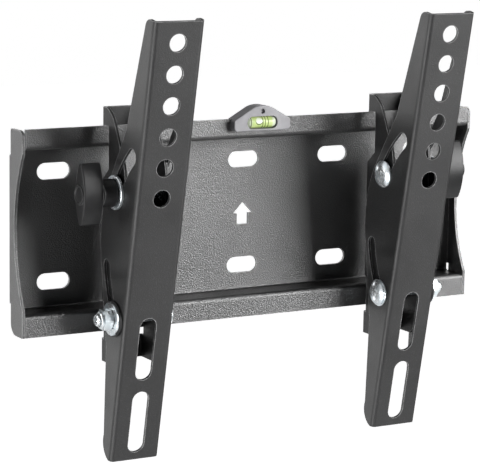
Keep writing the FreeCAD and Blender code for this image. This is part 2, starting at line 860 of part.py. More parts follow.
def make_level_vial():
    """The clear vial that lies in the holder's window."""
    body = new_body("level_vial")
    face = new_sketch(body, "VialOutline", "XZ_Plane", "level_front - vial_depth + vial_fit")
    obround(face, "0", "vial_height", "vial_length", "vial_width")
    vial = pad(body, face, "vial_depth - vial_fit", "Vial")
    front = -value("level_front")
    bevelled = body.newObject("PartDesign::Chamfer", "VialFront")
    bevelled.Base = (vial, edges_at(vial.Shape, y=front))
    bind(bevelled, "Size", "vial_edge")
    doc.recompute()
    return body


def make_side(side, outboard):
    """One side of the mount: the arm, its hook bracket and every fastener on its two bolts."""
    place = "%d * %s_place" % (outboard, side)
    make_arm(side, place)
    make_bracket(side, place, -outboard)
    edge = "arm_width / 2 + flat_gap"

    bolt_end = "2 * (%s) + knob_washer_thick + insert_length + clamp_end_play / 2" % edge
    neck = "%d * clamp_angle" % outboard
    bolt = make_bolt(
        side + "_clamp_bolt", "clamp_shank", "clamp_head", "clamp_head_height", bolt_end, neck
    )
    place_on_bolt(bolt, place, outboard, "-(%s)" % edge, CLAMP_Y, CLAMP_Z)
    washer = make_washer(
        side + "_knob_washer", "clamp_shank + 2 * bore_play", "knob_washer_width", "knob_washer_thick"
    )
    place_on_bolt(washer, place, outboard, edge, CLAMP_Y, CLAMP_Z)
    seat = "%s + knob_washer_thick + flat_gap" % edge
    knob = make_knob(side + "_knob")
    place_on_bolt(knob, place, outboard, seat, CLAMP_Y, CLAMP_Z)
    insert = make_washer(
        side + "_knob_insert", "clamp_shank + 2 * flat_gap", "insert_width", "insert_length"
    )
    place_on_bolt(insert, place, outboard, seat, CLAMP_Y, CLAMP_Z)

    inboard_seat = "-(%s + head_washer_thick)" % edge
    stack = "friction_thick + guide_washer_thick"
    guide_end = (
        "2 * (%s) + head_washer_thick + %s + nut_height + collar_height + guide_stub" % (edge, stack)
    )
    guide = make_bolt(
        side + "_guide_bolt", "guide_shank", "guide_head", "guide_head_height", guide_end
    )
    place_on_bolt(guide, place, outboard, inboard_seat, GUIDE_Y, GUIDE_Z)
    bore = "guide_shank + 2 * bore_play"
    rows = (
        ("_head_washer", "head_washer_width", "head_washer_thick", inboard_seat),
        ("_friction_washer", "friction_width", "friction_thick", edge),
        ("_guide_washer", "guide_washer_width", "guide_washer_thick", "%s + friction_thick" % edge),
    )
    for name, width, thick, reach in rows:
        ring = make_washer(side + name, bore, width, thick)
        place_on_bolt(ring, place, outboard, reach, GUIDE_Y, GUIDE_Z)
    nut = make_lock_nut(side + "_lock_nut")
    place_on_bolt(nut, place, outboard, "%s + %s" % (edge, stack), GUIDE_Y, GUIDE_Z)


make_wall_plate()
make_level_holder()
make_level_vial()
for side, outboard in (("left", -1), ("right", 1)):
    make_side(side, outboard)
doc.recompute()

for item in doc.Objects:
    if "Invalid" in item.State or "Error" in item.State:
        raise RuntimeError("%s failed: %s" % (item.Name, item.State))
os.makedirs("parts", exist_ok=True)
for node in NODES:
    solid = node.Shape
    if solid.isNull() or not solid.isValid() or len(solid.Solids) != 1:
        raise RuntimeError("bad shape: " + node.Label)
    solid.exportStep(os.path.join("parts", node.Label + ".step"))
    print(node.Label, round(solid.Volume, 1), [round(v, 2) for v in (
        solid.BoundBox.XMin, solid.BoundBox.XMax, solid.BoundBox.YMin,
        solid.BoundBox.YMax, solid.BoundBox.ZMin, solid.BoundBox.ZMax)])
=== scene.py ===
import logging
import math
from dataclasses import dataclass, field
from enum import Enum
from typing import ClassVar, Iterable

import bmesh
import bpy
from mathutils import Matrix, Vector


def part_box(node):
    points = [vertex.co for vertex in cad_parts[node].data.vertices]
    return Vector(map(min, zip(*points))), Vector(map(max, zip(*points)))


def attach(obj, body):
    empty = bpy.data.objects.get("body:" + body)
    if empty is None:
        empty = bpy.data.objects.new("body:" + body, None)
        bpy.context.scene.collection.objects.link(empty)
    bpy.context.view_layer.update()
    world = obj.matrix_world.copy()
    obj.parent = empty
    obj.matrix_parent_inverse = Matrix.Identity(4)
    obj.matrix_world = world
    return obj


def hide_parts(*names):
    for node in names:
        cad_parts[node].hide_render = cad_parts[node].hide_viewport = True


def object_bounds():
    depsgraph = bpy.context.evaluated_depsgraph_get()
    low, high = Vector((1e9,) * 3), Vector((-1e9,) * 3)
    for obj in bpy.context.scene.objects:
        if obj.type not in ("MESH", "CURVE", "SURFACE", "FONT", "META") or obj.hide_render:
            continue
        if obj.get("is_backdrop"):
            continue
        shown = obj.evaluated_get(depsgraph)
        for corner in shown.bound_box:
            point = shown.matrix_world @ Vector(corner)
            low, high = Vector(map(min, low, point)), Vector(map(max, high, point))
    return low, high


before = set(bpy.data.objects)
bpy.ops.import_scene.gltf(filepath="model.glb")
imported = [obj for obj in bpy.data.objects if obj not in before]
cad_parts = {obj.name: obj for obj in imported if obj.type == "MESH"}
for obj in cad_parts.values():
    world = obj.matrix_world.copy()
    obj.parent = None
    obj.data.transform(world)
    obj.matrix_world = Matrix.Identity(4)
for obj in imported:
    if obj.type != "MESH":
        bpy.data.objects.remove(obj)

Colour = tuple[float, float, float]
Socket = bpy.types.NodeSocket
Tree = bpy.types.NodeTree

LOG = logging.getLogger("wall_mount")

# The Mix node has sockets for every kind of value; these are the ones that it uses for colours.
MIX_SHARE, MIX_FIRST, MIX_SECOND, MIX_RESULT = 0, 6, 7, 2
WHITE = (1.0, 1.0, 1.0, 1.0)
ALONG_X = (1.0, 0.0, 0.0)
MERGE_DISTANCE = 1e-7
SAME_PLACE = 1e-6
# Most of a noise's values lie between these two.
NOISE_LOW, NOISE_HIGH = 0.35, 0.65


class Side(Enum):
    """The two arms of the mount, with the way that points outboard along X."""

    LEFT = ("left", -1.0)
    RIGHT = ("right", 1.0)

    def __init__(self, prefix: str, outboard: float) -> None:
        """Keep the side's name prefix and outboard sign."""
        self.prefix = prefix
        self.outboard = outboard


class Sheen(Enum):
    """How rough a coated face is: the lower, the tighter it gathers light."""

    SATIN = 0.36
    SOFT = 0.47


def link_nodes(tree: Tree, source: Socket, target: Socket) -> None:
    """Join one output socket to one input socket."""
    tree.links.new(source, target)


def object_coordinates(tree: Tree, scale: tuple[float, float, float] = (1.0, 1.0, 1.0)) -> Socket:
    """Read a piece's own coordinates in metres.

    Args:
        tree: The node tree that gets the nodes.
        scale: Stretch along each axis.

    Returns:
        The vector output of the mapping.
    """
    place = tree.nodes.new("ShaderNodeTexCoord")
    mapping = tree.nodes.new("ShaderNodeMapping")
    mapping.inputs["Scale"].default_value = scale
    link_nodes(tree, place.outputs["Object"], mapping.inputs["Vector"])
    return mapping.outputs["Vector"]


def noise_field(tree: Tree, vector: Socket, scale: Socket | float, detail: float, rough: float = 0.5) -> Socket:
    """Add a noise texture.

    Args:
        tree: The node tree that gets the node.
        vector: Where the noise is read.
        scale: Waves per metre, a socket or a number.
        detail: Octaves of finer noise.
        rough: Strength of each finer octave.

    Returns:
        The noise value.
    """
    noise = tree.nodes.new("ShaderNodeTexNoise")
    noise.inputs["Detail"].default_value = detail
    noise.inputs["Roughness"].default_value = rough
    link_nodes(tree, vector, noise.inputs["Vector"])
    if isinstance(scale, float):
        noise.inputs["Scale"].default_value = scale
    else:
        link_nodes(tree, scale, noise.inputs["Scale"])
    return noise.outputs["Fac"]


def spread(tree: Tree, value: Socket, low: float, high: float, out_low: float, out_high: float) -> Socket:
    """Stretch a value from one range to another, clamped.

    Args:
        tree: The node tree that gets the node.
        value: The value to stretch.
        low: Start of the range that is read.
        high: End of the range that is read.
        out_low: Result at the start.
        out_high: Result at the end.

    Returns:
        The stretched value.
    """
    node = tree.nodes.new("ShaderNodeMapRange")
    node.clamp = True
    for name, number in (("From Min", low), ("From Max", high), ("To Min", out_low), ("To Max", out_high)):
        node.inputs[name].default_value = number
    link_nodes(tree, value, node.inputs["Value"])
    return node.outputs["Result"]


def arithmetic(tree: Tree, operation: str, first: Socket, second: Socket | float = 0.0) -> Socket:
    """Add one Math node.

    Args:
        tree: The node tree that gets the node.
        operation: Blender's name of the operation.
        first: The first value.
        second: The second value, a socket or a number.

    Returns:
        The result.
    """
    node = tree.nodes.new("ShaderNodeMath")
    node.operation = operation
    link_nodes(tree, first, node.inputs[0])
    if isinstance(second, float):
        node.inputs[1].default_value = second
    else:
        link_nodes(tree, second, node.inputs[1])
    return node.outputs[0]


def blend_colours(tree: Tree, amount: Socket, first: Colour | Socket, second: Colour) -> Socket:
    """Mix two colours.

    Args:
        tree: The node tree that gets the node.
        amount: Share of the second colour.
        first: The colour at 0, or the socket that gives it.
        second: The colour at 1.

    Returns:
        The mixed colour.
    """
    node = tree.nodes.new("ShaderNodeMix")
    node.data_type = "RGBA"
    link_nodes(tree, amount, node.inputs[MIX_SHARE])
    if isinstance(first, tuple):
        node.inputs[MIX_FIRST].default_value = (*first, 1.0)
    else:
        link_nodes(tree, first, node.inputs[MIX_FIRST])
    node.inputs[MIX_SECOND].default_value = (*second, 1.0)
    return node.outputs[MIX_RESULT]


def dot_product(tree: Tree, first: Socket, second: Socket | tuple[float, float, float]) -> Socket:
    """Compare two directions.

    Args:
        tree: The node tree that gets the node.
        first: One direction.
        second: The other direction, a socket or numbers.

    Returns:
        1 where they agree, 0 where they stand square to each other.
    """
    node = tree.nodes.new("ShaderNodeVectorMath")
    node.operation = "DOT_PRODUCT"
    link_nodes(tree, first, node.inputs[0])
    if isinstance(second, tuple):
        node.inputs[1].default_value = second
    else:
        link_nodes(tree, second, node.inputs[1])
    return node.outputs["Value"]


def make_group(
    name: str, inputs: dict[str, float], outputs: Iterable[str]
) -> tuple[Tree, bpy.types.Node, bpy.types.Node]:
    """Start a shader group of plain numbers.

    Args:
        name: The group's name.
        inputs: Each input with its usual value.
        outputs: Names of the outputs.

    Returns:
        The group's tree, its input node and its output node.
    """
    tree = bpy.data.node_groups.new(name, "ShaderNodeTree")
    for label, usual in inputs.items():
        socket = tree.interface.new_socket(name=label, in_out="INPUT", socket_type="NodeSocketFloat")
        socket.default_value = usual
    for label in outputs:
        tree.interface.new_socket(name=label, in_out="OUTPUT", socket_type="NodeSocketFloat")
    return tree, tree.nodes.new("NodeGroupInput"), tree.nodes.new("NodeGroupOutput")


def painted_edge_highlight_group(
    radius: float = 0.0008, samples: int = 6, least: float = 0.35, thin: float = 0.35, thick: float = 0.6
) -> Tree:
    """Build the mask of sharp edges that get a painted highlight.

    Args:
        radius: How far from an edge the surface counts as turning, in metres.
        samples: Looks around each point.
        least: Share of the painted highlight that stays in its thinnest patches.
        thin: Noise value at which a patch is thinnest.
        thick: Noise value from which the painted highlight is whole.

    Returns:
        A group with inputs Low, High and Break and output Mask.
    """
    tree, entry, leave = make_group("painted_edge_highlight", {"Low": 0.02, "High": 0.3, "Break": 260.0}, ("Mask",))
    # Where the bevelled normal turns from the true one, the sharp edge is masked for a painted highlight.
    soft = tree.nodes.new("ShaderNodeBevel")
    soft.samples = samples
    soft.inputs["Radius"].default_value = radius
    plain = tree.nodes.new("ShaderNodeNewGeometry")
    agree = dot_product(tree, soft.outputs["Normal"], plain.outputs["Normal"])
    turned = arithmetic(tree, "ADD", arithmetic(tree, "MULTIPLY", agree, -1.0), 1.0)
    mask = tree.nodes.new("ShaderNodeMapRange")
    mask.clamp = True
    link_nodes(tree, turned, mask.inputs["Value"])
    link_nodes(tree, entry.outputs["Low"], mask.inputs["From Min"])
    link_nodes(tree, entry.outputs["High"], mask.inputs["From Max"])
    patch = noise_field(tree, object_coordinates(tree), entry.outputs["Break"], detail=2.0)
    broken = spread(tree, patch, thin, thick, least, 1.0)
    link_nodes(tree, arithmetic(tree, "MULTIPLY", mask.outputs["Result"], broken), leave.inputs["Mask"])
    return tree


def grain_group(speck_from: float = 0.56, speck_full: float = 0.72) -> Tree:
    """Build the fine orange-peel grain of coats and mouldings.

    Args:
        speck_from: Height of the grain at which a speck starts.
        speck_full: Height at which it is full.

    Returns:
        A group with inputs Fine and Broad and outputs Height, Speckle and Cloud.
    """
    tree, entry, leave = make_group(
        "surface_grain", {"Fine": 1500.0, "Broad": 45.0}, ("Height", "Speckle", "Cloud")
    )
    place = object_coordinates(tree)
    fine = noise_field(tree, place, entry.outputs["Fine"], detail=1.0)
    broad = noise_field(tree, place, entry.outputs["Broad"], detail=2.0)
    link_nodes(tree, fine, leave.inputs["Height"])
    link_nodes(tree, spread(tree, fine, speck_from, speck_full, 0.0, 1.0), leave.inputs["Speckle"])
    link_nodes(tree, spread(tree, broad, NOISE_LOW, NOISE_HIGH, 0.0, 1.0), leave.inputs["Cloud"])
    return tree


@dataclass(frozen=True)
class SharedEffects:
    """The node groups that more than one finish uses."""

    edge_highlight: Tree
    grain: Tree

    def place_edge_highlight(self, tree: Tree, low: float, high: float) -> Socket:
        """Put the painted edge highlight into a material.

        Args:
            tree: The material's tree.
            low: Turn of the surface at which the painted highlight starts.
            high: Turn at which it is full.

        Returns:
            The mask.
        """
        node = tree.nodes.new("ShaderNodeGroup")
        node.node_tree = self.edge_highlight
        node.inputs["Low"].default_value = low
        node.inputs["High"].default_value = high
        return node.outputs["Mask"]

    def place_grain(self, tree: Tree, fine: float, broad: float) -> bpy.types.Node:
        """Put the grain into a material.

        Args:
            tree: The material's tree.
            fine: Waves per metre of the grain.
            broad: Waves per metre of the clouding.

        Returns:
            The group node.
        """
        node = tree.nodes.new("ShaderNodeGroup")
        node.node_tree = self.grain
        node.inputs["Fine"].default_value = fine
        node.inputs["Broad"].default_value = broad
        return node


def start_material(name: str) -> tuple[bpy.types.Material, Tree, bpy.types.Node]:
    """Make a material that holds only a Principled shader and its output.

    Args:
        name: The material's name.

    Returns:
        The material, its tree and the shader.
    """
    material = bpy.data.materials.new(name)
    material.use_nodes = True
    tree = material.node_tree
    tree.nodes.clear()
    shader = tree.nodes.new("ShaderNodeBsdfPrincipled")
    leave = tree.nodes.new("ShaderNodeOutputMaterial")
    link_nodes(tree, shader.outputs["BSDF"], leave.inputs["Surface"])
    return material, tree, shader


def add_bump(tree: Tree, shader: bpy.types.Node, height: Socket, strength: float, distance: float) -> None:
    """Raise the surface by a height.

    Args:
        tree: The material's tree.
        shader: The shader that gets the normal.
        height: The height value.
        strength: Share of the bump that is used.
        distance: Height of a full step, in metres.
    """
    bump = tree.nodes.new("ShaderNodeBump")
    bump.inputs["Strength"].default_value = strength
    bump.inputs["Distance"].default_value = distance
    link_nodes(tree, height, bump.inputs["Height"])
    link_nodes(tree, bump.outputs["Normal"], shader.inputs["Normal"])


@dataclass(frozen=True)
class PowderCoat:
    """Fine-textured black powder coat over folded sheet, painted paler along its sharp edges as a highlight."""

    name: str
    base: Colour
    speck: Colour
    worn: Colour
    sheen: Sheen
    grain: float
    depth: float
    bend: float = 1.5
    clouding: float = 38.0
    speck_share: float = 0.8
    highlight_from: float = 0.02
    highlight_full: float = 0.26
    highlight_share: float = 0.75
    smoother: float = 0.03
    rougher: float = 0.05
    polish: float = 0.12
    grain_height: float = 0.0003

    def build(self, effects: SharedEffects) -> bpy.types.Material:
        """Make the material.

        Args:
            effects: The shared node groups.

        Returns:
            The finished material.
        """
        material, tree, shader = start_material(self.name)
        grain = effects.place_grain(tree, self.grain, self.clouding)
        flecks = arithmetic(tree, "MULTIPLY", grain.outputs["Speckle"], self.speck_share)
        edge_highlight = effects.place_edge_highlight(tree, self.highlight_from, self.highlight_full)
        colour = blend_colours(tree, flecks, self.base, self.speck)
        # The pale colour along sharp edges is a painted highlight.
        colour = blend_colours(tree, arithmetic(tree, "MULTIPLY", edge_highlight, self.highlight_share), colour, self.worn)
        link_nodes(tree, colour, shader.inputs["Base Color"])
        smooth, rough = self.sheen.value - self.smoother, self.sheen.value + self.rougher
        clouded = spread(tree, grain.outputs["Cloud"], 0.0, 1.0, smooth, rough)
        polished = arithmetic(tree, "MULTIPLY", edge_highlight, self.polish)
        link_nodes(tree, arithmetic(tree, "SUBTRACT", clouded, polished), shader.inputs["Roughness"])
        shader.inputs["IOR"].default_value = self.bend
        add_bump(tree, shader, grain.outputs["Height"], self.depth, self.grain_height)
        return material


@dataclass(frozen=True)
class ZincPlate:
    """Bright zinc plating, slightly blue, with faint clouding, painted shade in its corners and a painted
    highlight along its sharp edges.
    """

    name: str
    base: Colour
    dull: Colour
    worn: Colour = (0.96, 0.98, 1.0)
    painted_shade: Colour = (0.06, 0.07, 0.08)
    painted_shade_share: float = 0.8
    painted_shade_reach: float = 0.0025
    painted_shade_inside: float = 0.2
    painted_shade_outside: float = 0.75
    grain: float = 2200.0
    clouding: float = 190.0
    highlight_from: float = 0.05
    highlight_full: float = 0.5
    highlight_share: float = 0.6
    metal: float = 0.85
    smooth: float = 0.2
    rough: float = 0.36
    depth: float = 0.25
    grain_height: float = 0.00006

    def build(self, effects: SharedEffects) -> bpy.types.Material:
        """Make the material.

        Args:
            effects: The shared node groups.

        Returns:
            The finished material.
        """
        material, tree, shader = start_material(self.name)
        grain = effects.place_grain(tree, self.grain, self.clouding)
        colour = blend_colours(tree, grain.outputs["Cloud"], self.base, self.dull)
        # Whitish sharp edges: a painted highlight.
        edge_highlight = effects.place_edge_highlight(tree, self.highlight_from, self.highlight_full)
        colour = blend_colours(tree, arithmetic(tree, "MULTIPLY", edge_highlight, self.highlight_share), colour, self.worn)
        # Ambient occlusion darkens the colour in corners and crevices: painted shade.
        near = tree.nodes.new("ShaderNodeAmbientOcclusion")
        near.inputs["Distance"].default_value = self.painted_shade_reach
        painted_shade = spread(tree, near.outputs["AO"], self.painted_shade_inside, self.painted_shade_outside, self.painted_shade_share, 0.0)
        link_nodes(tree, blend_colours(tree, painted_shade, colour, self.painted_shade), shader.inputs["Base Color"])
        shader.inputs["Metallic"].default_value = self.metal
        clouded = spread(tree, grain.outputs["Cloud"], 0.0, 1.0, self.smooth, self.rough)
        link_nodes(tree, clouded, shader.inputs["Roughness"])
        add_bump(tree, shader, grain.outputs["Height"], self.depth, self.grain_height)
        return material


@dataclass(frozen=True)
class Moulding:
    """A moulded plastic with a spark-eroded grain, painted paler along its sharp edges as a highlight."""

    name: str
    base: Colour
    pale: Colour
    rough: float
    grain: float
    cloud_share: float = 0.35
    gloss: float = 0.5
    highlight_share: float = 0.5
    clouding: float = 120.0
    highlight_from: float = 0.04
    highlight_full: float = 0.45
    speck_rough: float = 0.1
    depth: float = 0.3
    grain_height: float = 0.00009

    def build(self, effects: SharedEffects) -> bpy.types.Material:
        """Make the material.

        Args:
            effects: The shared node groups.

        Returns:
            The finished material.
        """
        material, tree, shader = start_material(self.name)
        grain = effects.place_grain(tree, self.grain, self.clouding)
        clouds = arithmetic(tree, "MULTIPLY", grain.outputs["Cloud"], self.cloud_share)
        colour = blend_colours(tree, clouds, self.base, self.pale)
        # The pale colour serves both the random clouding and the painted edge highlight.
        edge_highlight = effects.place_edge_highlight(tree, self.highlight_from, self.highlight_full)
        colour = blend_colours(tree, arithmetic(tree, "MULTIPLY", edge_highlight, self.highlight_share), colour, self.pale)
        link_nodes(tree, colour, shader.inputs["Base Color"])
        rough = spread(tree, grain.outputs["Speckle"], 0.0, 1.0, self.rough, self.rough + self.speck_rough)
        link_nodes(tree, rough, shader.inputs["Roughness"])
        shader.inputs["Specular IOR Level"].default_value = self.gloss
        add_bump(tree, shader, grain.outputs["Height"], self.depth, self.grain_height)
        return material


@dataclass(frozen=True)
class TurnedBrass:
    """The knob's turned insert."""

    name: str = "brass_turned"
    bright: Colour = (0.75, 0.56, 0.26)
    dull: Colour = (0.58, 0.42, 0.18)
    grain: float = 2600.0
    clouding: float = 260.0
    smooth: float = 0.22
    rough: float = 0.34
    depth: float = 0.2
    grain_height: float = 0.00005

    def build(self, effects: SharedEffects) -> bpy.types.Material:
        """Make the material.

        Args:
            effects: The shared node groups.

        Returns:
            The finished material.
        """
        material, tree, shader = start_material(self.name)
        grain = effects.place_grain(tree, self.grain, self.clouding)
        colour = blend_colours(tree, grain.outputs["Cloud"], self.bright, self.dull)
        link_nodes(tree, colour, shader.inputs["Base Color"])
        shader.inputs["Metallic"].default_value = 1.0
        clouded = spread(tree, grain.outputs["Cloud"], 0.0, 1.0, self.smooth, self.rough)
        link_nodes(tree, clouded, shader.inputs["Roughness"])
        add_bump(tree, shader, grain.outputs["Height"], self.depth, self.grain_height)
        return material


@dataclass(frozen=True)
class VialFluid:
    """Clear acrylic with yellow-green fluid, or the paler bubble in it, with pale plugs at its ends."""

    name: str
    deep: Colour
    pale: Colour
    clear: float
    plug: Colour = (0.80, 0.86, 0.74)
    plug_from: float = 0.0058
    plug_full: float = 0.0066
    plug_share: float = 0.8
    swirl: tuple[float, float, float] = (160.0, 160.0, 420.0)
    swirl_rough: float = 0.55
    swirl_low: float = 0.3
    swirl_high: float = 0.7
    smooth: float = 0.3
    rough: float = 0.4
    bend: float = 1.45
    coat: float = 0.15
    coat_rough: float = 0.05

    def build(self, effects: SharedEffects) -> bpy.types.Material:
        """Make the material.

        Args:
            effects: The shared node groups, which a clear finish has no use for.

        Returns:
            The finished material.
        """
        material, tree, shader = start_material(self.name)
        swirl = noise_field(tree, object_coordinates(tree, self.swirl), 1.0, detail=2.0, rough=self.swirl_rough)
        paler = spread(tree, swirl, NOISE_LOW, NOISE_HIGH, 0.0, 1.0)
        colour = blend_colours(tree, paler, self.deep, self.pale)
        split = tree.nodes.new("ShaderNodeSeparateXYZ")
        link_nodes(tree, object_coordinates(tree), split.inputs["Vector"])
        reach = arithmetic(tree, "ABSOLUTE", split.outputs["X"])
        plugged = spread(tree, reach, self.plug_from, self.plug_full, 0.0, self.plug_share)
        link_nodes(tree, blend_colours(tree, plugged, colour, self.plug), shader.inputs["Base Color"])
        rough = spread(tree, swirl, self.swirl_low, self.swirl_high, self.smooth, self.rough)
        link_nodes(tree, rough, shader.inputs["Roughness"])
        shader.inputs["Transmission Weight"].default_value = self.clear
        shader.inputs["IOR"].default_value = self.bend
        shader.inputs["Coat Weight"].default_value = self.coat
        shader.inputs["Coat Roughness"].default_value = self.coat_rough
        return material


@dataclass
class FinishShelf:
    """Every finish of the mount, built once."""

    effects: SharedEffects
    made: dict[str, bpy.types.Material] = field(default_factory=dict)

    def stock(self) -> None:
        """Build every finish under its short name."""
        black = (0.004, 0.004, 0.0042)
        speck = (0.028, 0.028, 0.0295)
        # Pale colour of the painted edge highlight.
        worn = (0.6, 0.6, 0.605)
        grain = 1900.0
        finishes = {
            "plate_coat": PowderCoat(
                "plate_powder_coat", black, speck, worn, Sheen.SATIN, grain, depth=0.9, bend=2.0
            ),
            "arm_coat": PowderCoat(
                "arm_powder_coat", (0.006, 0.006, 0.0062), speck, worn, Sheen.SOFT, grain, depth=0.35, bend=1.65
            ),
            "bracket_coat": PowderCoat(
                "bracket_powder_coat", (0.005, 0.005, 0.0052), speck, worn, Sheen.SOFT, grain, depth=0.35,
                bend=1.42,
            ),
            "zinc": ZincPlate("zinc_plate", base=(0.95, 0.98, 1.0), dull=(0.76, 0.83, 0.87)),
            # The knob's pale colour is almost all painted edge highlight.
            "knob": Moulding(
                "knob_plastic", (0.013, 0.013, 0.0136), (0.7, 0.7, 0.703), rough=0.36, grain=1500.0,
                cloud_share=0.010, gloss=0.32, highlight_share=0.45,
            ),
            "nylon": Moulding(
                "black_nylon", (0.006, 0.006, 0.0065), (0.03, 0.03, 0.031), rough=0.6, grain=2400.0
            ),
            "level": Moulding(
                "level_plastic", (0.245, 0.241, 0.255), (0.52, 0.515, 0.53), rough=0.5, grain=2000.0
            ),
            "mark": Moulding(
                "vial_mark", (0.07, 0.11, 0.025), (0.14, 0.20, 0.06), rough=0.7, grain=2600.0, gloss=0.2
            ),
            "brass": TurnedBrass(),
            "fluid": VialFluid("vial_fluid", deep=(0.52, 0.68, 0.21), pale=(0.74, 0.86, 0.38), clear=0.2),
            "bubble": VialFluid("vial_bubble", deep=(0.84, 0.94, 0.70), pale=(0.95, 0.98, 0.88), clear=0.15),
        }
        for short, finish in finishes.items():
            self.made[short] = finish.build(self.effects)

    def coat_node(self, node: str, short: str) -> None:
        """Give one CAD node a finish.

        Args:
            node: The node's name.
            short: The finish's short name.
        """
        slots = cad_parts[node].data.materials
        slots.clear()
        slots.append(self.made[short])
        LOG.info("%s wears %s", node, short)


def finish_mesh(
    name: str, mesh: bmesh.types.BMesh, material: bpy.types.Material, smooth_deg: float = 40.0
) -> bpy.types.Object:
    """Turn a bmesh into a linked object with its normals outward.

    Args:
        name: The piece's name.
        mesh: The shape, in metres, in place.
        material: Its finish.
        smooth_deg: Faces that meet flatter than this are shaded smooth.

    Returns:
        The new object at the origin.
    """
    bmesh.ops.remove_doubles(mesh, verts=mesh.verts, dist=MERGE_DISTANCE)
    bmesh.ops.recalc_face_normals(mesh, faces=mesh.faces)
    for face in mesh.faces:
        face.smooth = True
    for edge in mesh.edges:
        edge.smooth = len(edge.link_faces) == 2 and edge.calc_face_angle(0.0) < math.radians(smooth_deg)
    data = bpy.data.meshes.new(name)
    mesh.to_mesh(data)
    mesh.free()
    data.materials.append(material)
    piece = bpy.data.objects.new(name, data)
    bpy.context.scene.collection.objects.link(piece)
    LOG.info("%s has %d faces", name, len(data.polygons))
    return piece


def close_holes(mesh: bmesh.types.BMesh) -> None:
    """Fill every open rim of a shape."""
    bmesh.ops.holes_fill(mesh, edges=[edge for edge in mesh.edges if edge.is_boundary])


def spin_profile(
    profile: Iterable[tuple[float, float]], start: Vector, angle: float, steps: int, advance: float = 0.0
) -> bmesh.types.BMesh:
    """Turn a closed profile about a line along X, and close its two ends.

    Args:
        profile: Points as (along X, radius) from the start.
        start: Where the turn starts, on the line.
        angle: How far it is turned.
        steps: Facets of the turn.
        advance: How far it moves along X in all.

    Returns:
        The solid.
    """
    mesh = bmesh.new()
    corners = [mesh.verts.new(start + Vector((along, 0.0, radius))) for along, radius in profile]
    edges = [mesh.edges.new((a, b)) for a, b in zip(corners, corners[1:] + corners[:1])]
    bmesh.ops.spin(
        mesh, geom=corners + edges, cent=start, axis=ALONG_X, dvec=(advance / steps, 0.0, 0.0), angle=angle,
        steps=steps, use_merge=False, use_duplicate=False,
    )
    close_holes(mesh)
    return mesh


@dataclass
class WallPlateSet:
    """The folded wall plate."""

    finishes: FinishShelf

    def build(self) -> None:
        """Coat the plate."""
        self.finishes.coat_node("wall_plate", "plate_coat")


@dataclass
class LevelSet:
    """The level: its holder, the barrel of the vial, the bubble and the marks."""

    finishes: FinishShelf
    axis_y: float = -0.01800
    axis_z: float = 0.0503
    barrel_half: float = 0.00915
    barrel_radius: float = 0.00318
    barrel_round: float = 0.0028
    barrel_facets: int = 64
    round_facets: int = 7
    cut_y: float = -0.01806
    bubble_x: float = -0.0020
    bubble_up: float = 0.00085
    bubble_half: float = 0.0020
    bubble_half_up: float = 0.0017
    bubble_bulge: float = 0.00013
    lens_facets: int = 20
    # Size and place of the dark lens of painted shade under the bubble's lower side.
    shade_bulge: float = 0.00007
    shade_drop: float = 0.0003
    shade_grow: float = 1.05
    mark_x: tuple[float, ...] = (-0.0067, 0.0002, 0.0017, 0.0034)
    mark_width: float = 0.00038
    mark_depth: float = 0.0001
    mark_lift: float = 0.00003
    mark_facets: int = 40

    def build_barrel(self) -> None:
        """Build the barrel that shows in the window and stands for the plain vial."""
        mesh = bmesh.new()
        place = Matrix.Translation((0.0, self.axis_y, self.axis_z)) @ Matrix.Rotation(math.pi / 2, 4, "Y")
        bmesh.ops.create_cone(
            mesh, cap_ends=True, segments=self.barrel_facets, radius1=self.barrel_radius,
            radius2=self.barrel_radius, depth=2 * self.barrel_half, matrix=place,
        )
        rims = [edge for edge in mesh.edges if abs(edge.verts[0].co.x - edge.verts[1].co.x) < SAME_PLACE]
        bmesh.ops.bevel(
            mesh, geom=rims, offset=self.barrel_round, affect="EDGES", segments=self.round_facets,
            profile=0.5, material=-1,
        )
        bmesh.ops.bisect_plane(
            mesh, geom=mesh.verts[:] + mesh.edges[:] + mesh.faces[:], plane_co=(0.0, self.cut_y, 0.0),
            plane_no=(0.0, 1.0, 0.0), clear_outer=True,
        )
        close_holes(mesh)
        piece = finish_mesh("vial_barrel", mesh, self.finishes.made["fluid"])
        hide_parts("level_vial")
        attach(piece, "wall")

    def build_lens(self, name: str, short: str, drop: float, grow: float, bulge: float) -> None:
        """Build a thin oval lens that lies on the barrel's front.

        Args:
            name: The piece's name.
            short: Its finish.
            drop: How far its centre sits below the bubble's.
            grow: Its size beside the bubble's.
            bulge: How far it bulges.
        """
        mesh = bmesh.new()
        bmesh.ops.create_uvsphere(
            mesh, u_segments=2 * self.lens_facets, v_segments=self.lens_facets, radius=1.0
        )
        for corner in mesh.verts:
            above = self.bubble_up - drop + grow * self.bubble_half_up * corner.co.z
            front = self.axis_y - math.sqrt(self.barrel_radius**2 - above**2)
            corner.co = Vector((
                self.bubble_x + grow * self.bubble_half * corner.co.x, front + bulge * corner.co.y,
                self.axis_z + above,
            ))
        piece = finish_mesh(name, mesh, self.finishes.made[short])
        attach(piece, "wall")

    def build_bubble(self) -> None:
        """Build the bubble and, under its lower side, a dark lens of painted shade for its refracted dark edge.
        """
        self.build_lens("vial_bubble_painted_shade", "mark", self.shade_drop, self.shade_grow, self.shade_bulge)
        self.build_lens("vial_air_bubble", "bubble", 0.0, 1.0, self.bubble_bulge)

    def build_marks(self) -> None:
        """Build the dark rings that the bubble is read against."""
        inner = self.barrel_radius - self.mark_depth
        outer = self.barrel_radius + self.mark_lift
        half = self.mark_width / 2
        profile = ((-half, inner), (half, inner), (half, outer), (-half, outer))
        for number, along in enumerate(self.mark_x, start=1):
            centre = Vector((along, self.axis_y, self.axis_z))
            mesh = spin_profile(profile, centre, math.pi, self.mark_facets)
            piece = finish_mesh("vial_mark_%d" % number, mesh, self.finishes.made["mark"])
            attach(piece, "wall")

    def build(self) -> None:
        """Coat the holder and build the vial's pieces."""
        self.finishes.coat_node("level_holder", "level")
        self.build_barrel()
        self.build_bubble()
        self.build_marks()


